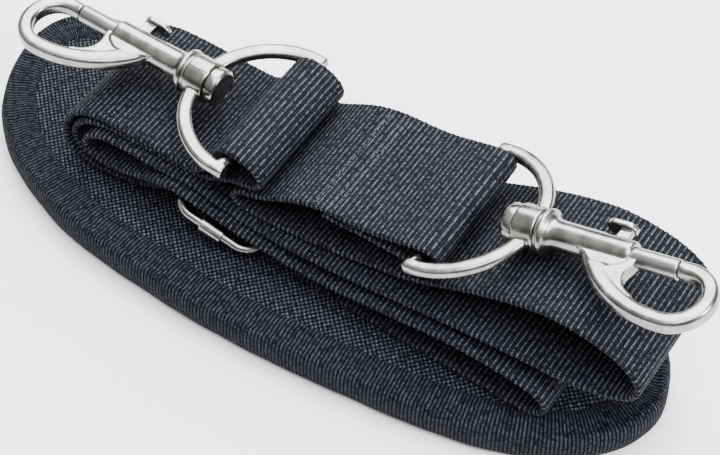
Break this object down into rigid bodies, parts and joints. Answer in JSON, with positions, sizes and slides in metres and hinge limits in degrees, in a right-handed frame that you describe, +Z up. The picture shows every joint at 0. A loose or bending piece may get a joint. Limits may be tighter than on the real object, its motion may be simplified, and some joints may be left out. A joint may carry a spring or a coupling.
{
  "type": "carrying strap",
  "caption": "Folded webbing carrying strap lying on its padded shoulder rest, with swivel bolt snap hooks on D-shaped bows and a wire slider.",
  "frame": {"origin": "the point of the pad's flat underside at the middle of its length and width, nominally", "axes": "+X along the pad, from the slider end to the upper fold; +Y across the pad, to its straighter side; +Z up"},
  "size_m": [0.2701, 0.0885, 0.082],
  "materials": {
    "foam": "closed-cell foam",
    "pad_cloth": "coarse basket-weave nylon",
    "binding_tape": "fine ribbed edge tape",
    "webbing": "cross-ribbed polyamide webbing",
    "slider_metal": "satin nickel plate",
    "hook_metal": "satin nickel plate",
    "steel": "plain steel"
  },
  "bodies": {
    "strap_assembly": {"pad_foam": "foam", "pad_top_cover": "pad_cloth", "pad_base_cover": "pad_cloth", "pad_binding": "binding_tape", "strap_right_tail": "webbing", "strap_right_loop": "webbing", "strap_top_run": "webbing", "strap_hidden_fold": "webbing", "strap_upper_run_left": "webbing", "strap_upper_run_right": "webbing", "strap_upper_right_fold": "webbing", "strap_middle_run_right": "webbing", "strap_middle_run_left": "webbing", "strap_inner_left_fold": "webbing", "strap_lower_run_left": "webbing", "strap_lower_run_right": "webbing", "strap_lower_right_fold": "webbing", "strap_base_run": "webbing", "strap_slider_weave": "webbing", "strap_adjust_run": "webbing", "strap_outer_left_fold": "webbing", "strap_outer_run": "webbing", "strap_left_loop": "webbing", "strap_return_run": "webbing", "strap_middle_left_fold": "webbing", "strap_slider_run": "webbing", "strap_slider_end": "webbing", "slider_frame": "slider_metal", "slider_bar": "slider_metal"},
    "left_bow_body": {"left_bow": "hook_metal"},
    "left_hook": {"left_hook_body": "hook_metal", "left_swivel_cap": "hook_metal", "left_swivel_washer": "steel", "left_bolt_spring": "steel"},
    "left_bolt_and_tab": {"left_bolt": "hook_metal", "left_thumb_tab": "hook_metal"},
    "right_bow_body": {"right_bow": "hook_metal"},
    "right_hook": {"right_hook_body": "hook_metal", "right_swivel_cap": "hook_metal", "right_swivel_washer": "steel", "right_bolt_spring": "steel"},
    "right_bolt_and_tab": {"right_bolt": "hook_metal", "right_thumb_tab": "hook_metal"}
  },
  "joints": [
    {"name": "left_bow_hinge", "type": "hinge", "parent": "strap_assembly", "child": "left_bow_body", "pos_m": [-0.01851, 0.0069, 0.051], "axis": [0.0262, 0.9997, 0], "range_deg": [0, 90]},
    {"name": "left_swivel", "type": "hinge", "parent": "left_bow_body", "child": "left_hook", "pos_m": [-0.0452, 0.0076, 0.051], "axis": [-0.9997, 0.0262, 0], "range_deg": [0, 180]},
    {"name": "left_bolt_slide", "type": "slide", "parent": "left_hook", "child": "left_bolt_and_tab", "axis": [0.9997, -0.0262, 0], "range_m": [0, 0.0095], "stiffness_N_per_m": 300, "springref_m": -0.01, "deforming": ["left_bolt_spring"]},
    {"name": "right_bow_hinge", "type": "hinge", "parent": "strap_assembly", "child": "right_bow_body", "pos_m": [0.05098, 0.00894, 0.05053], "axis": [-0.0175, -0.9998, 0], "range_deg": [0, 72]},
    {"name": "right_swivel", "type": "hinge", "parent": "right_bow_body", "child": "right_hook", "pos_m": [0.0763, 0.0085, 0.059], "axis": [-0.9482, 0.0166, -0.3173], "range_deg": [0, 180]},
    {"name": "right_bolt_slide", "type": "slide", "parent": "right_hook", "child": "right_bolt_and_tab", "axis": [-0.9482, 0.0166, -0.3173], "range_m": [0, 0.0095], "stiffness_N_per_m": 300, "springref_m": -0.01, "deforming": ["right_bolt_spring"]}
  ]
}
